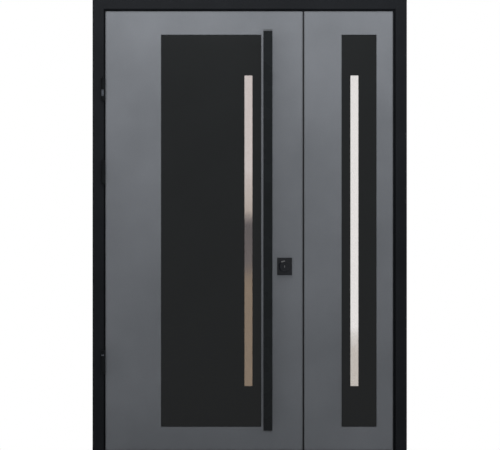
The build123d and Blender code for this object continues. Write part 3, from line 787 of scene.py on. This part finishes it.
def keyBoss():
    low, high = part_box("lock_rotor")
    centre = Vector(((low.x + high.x) / 2, low.y, (low.z + high.z) / 2))
    outer, inner = bossLook["outer"], bossLook["inner"]
    proud, chamfer, sides = bossLook["proud"], bossLook["chamfer"], bossLook["sides"]
    boss = bmesh.new()
    rings = [
        ringPoints(outer, -proud / 2, sides),
        ringPoints(outer, proud - chamfer, sides),
        ringPoints(outer - chamfer, proud, sides),
        ringPoints(inner + chamfer, proud, sides),
        ringPoints(inner, proud - chamfer, sides),
        ringPoints(inner, -proud / 2, sides),
    ]
    joinRings(boss, rings, facing(centre, (0, -1, 0)), closed=True)
    addPiece("lock_key_boss", boss, lockCoat, "main_leaf")


keyBoss()

# lock in the meeting edges: socket screws in the faceplate and the strike plate
edgeScrew = {
    "headRadius": 0.0048, "proud": 0.0003, "seat": 0.0008,
    "socketRadius": 0.0022, "socketDepth": 0.0013, "sides": 30,
    "inset": 0.0120,  # from a plate's ends
}


def edgeScrews(name, node, side, outward, body):
    low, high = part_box(node)
    screws = bmesh.new()
    for z in (low.z + edgeScrew["inset"], high.z - edgeScrew["inset"]):
        socketScrew(screws, (side(low.x, high.x), (low.y + high.y) / 2, z), outward, edgeScrew)
    addPiece(name, screws, zincSteel, body)


edgeScrews("lock_faceplate_screws", "lock_faceplate", max, (1, 0, 0), "main_leaf")
edgeScrews("strike_plate_screws", "strike_plate", min, (-1, 0, 0), "frame")

# room side: grub screws under the roses and the lever's neck
roomGrub = {
    "headRadius": 0.0022, "proud": 0.0002, "seat": 0.0008,
    "socketRadius": 0.0012, "socketDepth": 0.0008, "sides": 18,
}
leverNeck = {
    "radius": 0.0100,
    "grubOut": 0.0080,  # from a rose's face to the grub screw
}


def roomScrews():
    roseLow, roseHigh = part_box("inside_roses")
    middleX = (roseLow.x + roseHigh.x) / 2
    middleY = (roseLow.y + roseHigh.y) / 2
    side = roseHigh.x - roseLow.x
    screws = bmesh.new()
    for z in (roseLow.z, roseHigh.z - side):
        socketScrew(screws, (middleX, middleY, z), (0, 0, -1), roomGrub)
    neck = (middleX, roseHigh.y + leverNeck["grubOut"], roseHigh.z - side / 2 - leverNeck["radius"])
    socketScrew(screws, neck, (0, 0, -1), roomGrub)
    addPiece("room_furniture_screws", screws, blackScrew, "main_leaf")


roomScrews()
print("lock dressed")

# glazing: sealant in the outer corner of each slot, a wedge gasket on the room side
gasketLook = {
    "paneCover": 0.0120,  # hidden edge of the panes
    "rearMargin": 0.0040,  # how much wider the liner's opening is
    "lap": 0.0003,  # into the sides of the slot
    "sealant": 0.0005,
    "sealantHollow": 0.45,  # share of the bead that its hollow face leaves
    "wedgeWidth": 0.0030,
    "wedgeHeight": 0.0045,
    "wedgeCurve": [(1.0, 0.0), (0.96, 0.35), (0.72, 0.72), (0.30, 0.96)],  # shares of those two
}


def slotRing(centre, width, height, inset, y):
    halfWidth, halfHeight = width / 2 - inset, height / 2 - inset
    corners = ((-1, -1), (1, -1), (1, 1), (-1, 1))
    return [Vector((centre.x + a * halfWidth, y, centre.z + b * halfHeight)) for a, b in corners]


def glazingGaskets(leaf, body):
    low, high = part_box(f"{leaf}_panes")
    centre = (low + high) / 2
    width = high.x - low.x - 2 * gasketLook["paneCover"]
    height = high.z - low.z - 2 * gasketLook["paneCover"]
    lap, bead = gasketLook["lap"], gasketLook["sealant"]
    hollow = bead * gasketLook["sealantHollow"]
    gasket = bmesh.new()
    profile = [(-lap, 0.0), (bead, 0.0), (hollow, -hollow), (-lap, -bead)]
    rings = [slotRing(centre, width, height, inset, low.y + rise) for inset, rise in profile]
    joinRings(gasket, rings, Matrix.Identity(4), closed=True)
    width += 2 * gasketLook["rearMargin"]
    height += 2 * gasketLook["rearMargin"]
    wide, tall = gasketLook["wedgeWidth"], gasketLook["wedgeHeight"]
    curve = [(wide * share, tall * rise) for share, rise in gasketLook["wedgeCurve"]]
    profile = [(-lap, 0.0), *curve, (-lap, tall)]
    rings = [slotRing(centre, width, height, inset, high.y + rise) for inset, rise in profile]
    joinRings(gasket, rings, Matrix.Identity(4), closed=True)
    addPiece(f"{leaf}_glazing_gaskets", gasket, sealRubber, body, sharpFrom=50.0)


glazingGaskets("main", "main_leaf")
glazingGaskets("side", "frame")

# meeting gap: a dark strip behind it, put there as painted shade, and moulded blocks that close the seal's
# ends
meetingLook = {
    "shadeStripThick": 0.0012,
    "shadeStripEdge": 0.6,  # share of the thickness at the seal
    "clear": 0.0005,  # to the seal and the side leaf's edge
    "facingClear": 0.0015,
    "blockReach": 0.0340,  # along the leaf
    "blockFront": 0.0070,  # forward of the sealing step
    "blockDepth": 0.0260,
    "blockHeight": 0.0094,
    "blockOutline": [  # shares of the depth and the height, with two ribs
        (0.00, 0.00), (0.00, 0.55), (0.05, 0.80), (0.14, 0.94), (0.25, 1.00), (0.45, 0.86),
        (0.55, 0.86), (0.75, 1.00), (0.92, 0.94), (1.00, 0.70), (1.00, 0.00),
    ],
    "blockStations": [  # shares of the reach, and the section's size there
        (0.0, 0.80), (0.06, 1.0), (0.94, 1.0), (1.0, 0.80),
    ],
}


def meetingClosersAndShadeStrip():
    sealLow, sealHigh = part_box("meeting_seal")
    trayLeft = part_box("side_tray")[0].x
    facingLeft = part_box("side_facing")[0].x
    stepFace = sealHigh.y
    closers = bmesh.new()
    # painted shade: a dark strip laid behind the gap, where the gap has only shade
    thick, clear = meetingLook["shadeStripThick"], meetingLook["clear"]
    left, right = sealHigh.x + clear, facingLeft - meetingLook["facingClear"]
    profile = [
        (left, 0.0), (left, -thick * meetingLook["shadeStripEdge"]),
        (left + thick, -thick), (right - thick, -thick), (right, 0.0),
    ]
    rings = [[Vector((x, stepFace + y, z)) for x, y in profile] for z in (sealLow.z, sealHigh.z)]
    joinRings(closers, rings, Matrix.Identity(4))
    front, depth, tall = meetingLook["blockFront"], meetingLook["blockDepth"], meetingLook["blockHeight"]
    for z, up in ((sealLow.z, -1), (sealHigh.z, 1)):
        rings = []
        for along, size in meetingLook["blockStations"]:
            x = trayLeft + clear + along * meetingLook["blockReach"]
            section = []
            for run, rise in meetingLook["blockOutline"]:
                y = stepFace - front + depth * (0.5 + (run - 0.5) * size)  # shrinks about its middle
                section.append(Vector((x, y, z + up * tall * rise * size)))
            rings.append(section)
        joinRings(closers, rings, Matrix.Identity(4))
    addPiece("meeting_gap_closers_and_shade_strip", closers, sealRubber, "frame", sharpFrom=40.0)


meetingClosersAndShadeStrip()

# hinge edge: hexagon collars at the roots of the dog bolts
collarLook = {
    "radius": 0.0115,
    "thickness": 0.0025,
    "chamfer": 0.0006,
    "crown": 0.90,  # share of the radius, where the chamfer ends
    "bore": 0.98,  # share of the bolt's radius, a close fit
    "flats": 6,
    "sides": 36,
}


def boltHeights(node, apart):
    # middles of the bolts in a node, each a run of points closer than apart
    runs = []
    for z in sorted({round(point.co.z, 4) for point in nodes[node].data.vertices}):
        if runs and z - runs[-1][0] < apart:
            runs[-1].append(z)
        else:
            runs.append([z])
    return [(run[0] + run[-1]) / 2 for run in runs]


def dogBoltCollars():
    low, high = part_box("dog_bolts")
    boltRadius = (high.y - low.y) / 2
    middleY = (low.y + high.y) / 2
    reach, thick, chamfer = collarLook["radius"], collarLook["thickness"], collarLook["chamfer"]
    bore, flats, sides = boltRadius * collarLook["bore"], collarLook["flats"], collarLook["sides"]
    collars = bmesh.new()
    for z in boltHeights("dog_bolts", apart=3 * boltRadius):
        rings = [
            ringPoints(reach, 0, sides, flats),
            ringPoints(reach, thick - chamfer, sides, flats),
            ringPoints(reach * collarLook["crown"], thick, sides),
            ringPoints(bore, thick, sides),
            ringPoints(bore, 0, sides),
        ]
        joinRings(collars, rings, facing((high.x, middleY, z), (-1, 0, 0)), closed=True)
    addPiece("dog_bolt_collars", collars, zincSteel, "main_leaf")


dogBoltCollars()
print("glazing and edges dressed")

# stage: a pale floor that fades to white away from the door
floorLook = {
    "radius": 4.0,
    "sides": 96,
    "dark": (0.80, 0.80, 0.79),
    "light": (0.86, 0.86, 0.85),
    "roughness": (0.55, 0.70),
    "cloudScale": 1.5,
    "stretch": (0.55, 1.0, 1.0),  # the pool of shadow is wider than deep
    "fadeFrom": 0.90,
    "fadeTo": 1.20,
}


def backgroundRays(tree):
    # 1 for camera, glossy and transmission rays
    path = tree.nodes.new("ShaderNodeLightPath")
    seen = addMath(tree, "MAXIMUM", path.outputs["Is Camera Ray"], path.outputs["Is Glossy Ray"])
    return addMath(tree, "MAXIMUM", seen, path.outputs["Is Transmission Ray"])


def paleFloor():
    disc = bmesh.new()
    bmesh.ops.create_circle(disc, cap_ends=True, segments=floorLook["sides"], radius=floorLook["radius"])
    data = bpy.data.meshes.new("pale_floor")
    disc.to_mesh(data)
    disc.free()
    floor = bpy.data.objects.new("pale_floor", data)
    scene.collection.objects.link(floor)
    finish, tree, shader, coords = newFinish("pale_floor")
    cloud = addNoise(tree, coords, floorLook["cloudScale"], detail=3.0)
    color = addRamp(tree, cloud, floorLook["dark"], floorLook["light"])
    tree.links.new(color, shader.inputs["Base Color"])
    tree.links.new(addRange(tree, cloud, *floorLook["roughness"]), shader.inputs["Roughness"])
    mapping = tree.nodes.new("ShaderNodeMapping")
    mapping.inputs["Scale"].default_value = floorLook["stretch"]
    tree.links.new(coords, mapping.inputs["Vector"])
    away = tree.nodes.new("ShaderNodeVectorMath")
    away.operation = "LENGTH"
    tree.links.new(mapping.outputs["Vector"], away.inputs[0])
    fade = addRange(tree, away.outputs["Value"], 0.0, 1.0, floorLook["fadeFrom"], floorLook["fadeTo"])
    white = tree.nodes.new("ShaderNodeEmission")
    blend = tree.nodes.new("ShaderNodeMixShader")
    tree.links.new(addMath(tree, "MULTIPLY", fade, backgroundRays(tree)), blend.inputs[0])
    tree.links.new(shader.outputs[0], blend.inputs[1])
    tree.links.new(white.outputs[0], blend.inputs[2])
    tree.links.new(blend.outputs[0], tree.nodes["Material Output"].inputs["Surface"])
    data.materials.append(finish)


paleFloor()

# soft studio light: a white surround, panels in front, at the head, overhead and behind, and a small glint
surroundLook = {
    "ambient": 0.14,  # what it lights the door with
    "white": 1.0,  # what shows behind the door, in gloss and through glass
}
frontPanel = {
    "place": (0.08, -8.06, 0.95),
    "aim": (0.08, -7.844, 1.926),  # feathered: turned far up, so its light fades towards the foot
    "size": (1.0, 1.0),
    "spread": 180.0,
    "power": 1425.0,
    "color": (1.0, 0.995, 0.985),
    "mirrored": False,  # kept out of reflections, as with a polariser
    "lights": True,
}
headPanel = {
    "place": (0.0, -1.06, 2.55),
    "aim": (0.0, -0.06, 2.55),
    "size": (3.4, 1.2),
    "spread": 180.0,
    "power": 23.7,
    "color": (1.0, 0.995, 0.985),
    "mirrored": False,
    "lights": True,
}
floorPanel = {
    "place": (0.0, -0.20, 4.60),
    "aim": (0.0, -0.20, 0.0),
    "size": (3.6, 3.2),
    "spread": 70.0,
    "power": 24.0,
    "color": (1.0, 1.0, 1.0),
    "mirrored": False,
    "lights": True,
}
glintBox = {
    "place": (-0.42, -1.90, 2.78),
    "aim": (0.15, -0.07, 0.88),
    "size": (1.3, 0.5),
    "spread": 180.0,
    "power": 32.0,
    "color": (1.0, 1.0, 1.0),
    "mirrored": True,
    "lights": False,  # a glint on round edges and no more
}
rearPanel = {
    "place": (0.60, 2.60, 2.90),
    "aim": (0.0, 0.03, 1.20),
    "size": (3.2, 1.6),
    "spread": 140.0,
    "power": 62.0,
    "color": (1.0, 0.995, 0.985),
    "mirrored": True,
    "lights": True,
}


def whiteSurround():
    world = bpy.data.worlds.new("white_surround")
    scene.world = world
    world.use_nodes = True
    tree = world.node_tree
    ground = tree.nodes["Background"]
    ambient, white = surroundLook["ambient"], surroundLook["white"]
    strength = addRange(tree, backgroundRays(tree), ambient, white, start=0.0, end=1.0)
    ground.inputs["Color"].default_value = (1, 1, 1, 1)
    tree.links.new(strength, ground.inputs["Strength"])


def softPanel(name, look):
    light = bpy.data.lights.new(name, "AREA")
    light.shape = "RECTANGLE"
    light.size, light.size_y = look["size"]
    light.energy = look["power"]
    light.color = look["color"]
    light.spread = math.radians(look["spread"])
    lamp = bpy.data.objects.new(name, light)
    scene.collection.objects.link(lamp)
    lamp.location = look["place"]
    beam = Vector(look["aim"]) - Vector(look["place"])
    lamp.rotation_euler = beam.to_track_quat("-Z", "Y").to_euler()
    lamp.visible_camera = False
    lamp.visible_diffuse = look["lights"]
    lamp.visible_glossy = look["mirrored"]
    lamp.visible_transmission = look["mirrored"]


whiteSurround()
softPanel("front_panel", frontPanel)
softPanel("head_panel", headPanel)
softPanel("floor_panel", floorPanel)
softPanel("glint_box", glintBox)
softPanel("rear_panel", rearPanel)

# camera square to the door, far off with a long lens, as in the photo
cameraLook = {
    "distance": 60.0,
    "aimX": 0.0014,
    "aimZ": 1.0637,
    "viewWidth": 2.2268,  # metres across the picture at the door's front face
    "sensor": 36.0,
    "clipEnd": 200.0,
}


def squareCamera():
    data = bpy.data.cameras.new("square_camera")
    data.sensor_width = cameraLook["sensor"]
    data.lens = cameraLook["sensor"] * cameraLook["distance"] / cameraLook["viewWidth"]
    data.clip_end = cameraLook["clipEnd"]
    camera = bpy.data.objects.new("square_camera", data)
    scene.collection.objects.link(camera)
    camera.location = (cameraLook["aimX"], frontFace - cameraLook["distance"], cameraLook["aimZ"])
    camera.rotation_euler = (math.pi / 2, 0, 0)
    scene.camera = camera


squareCamera()
print("stage, light and camera set")
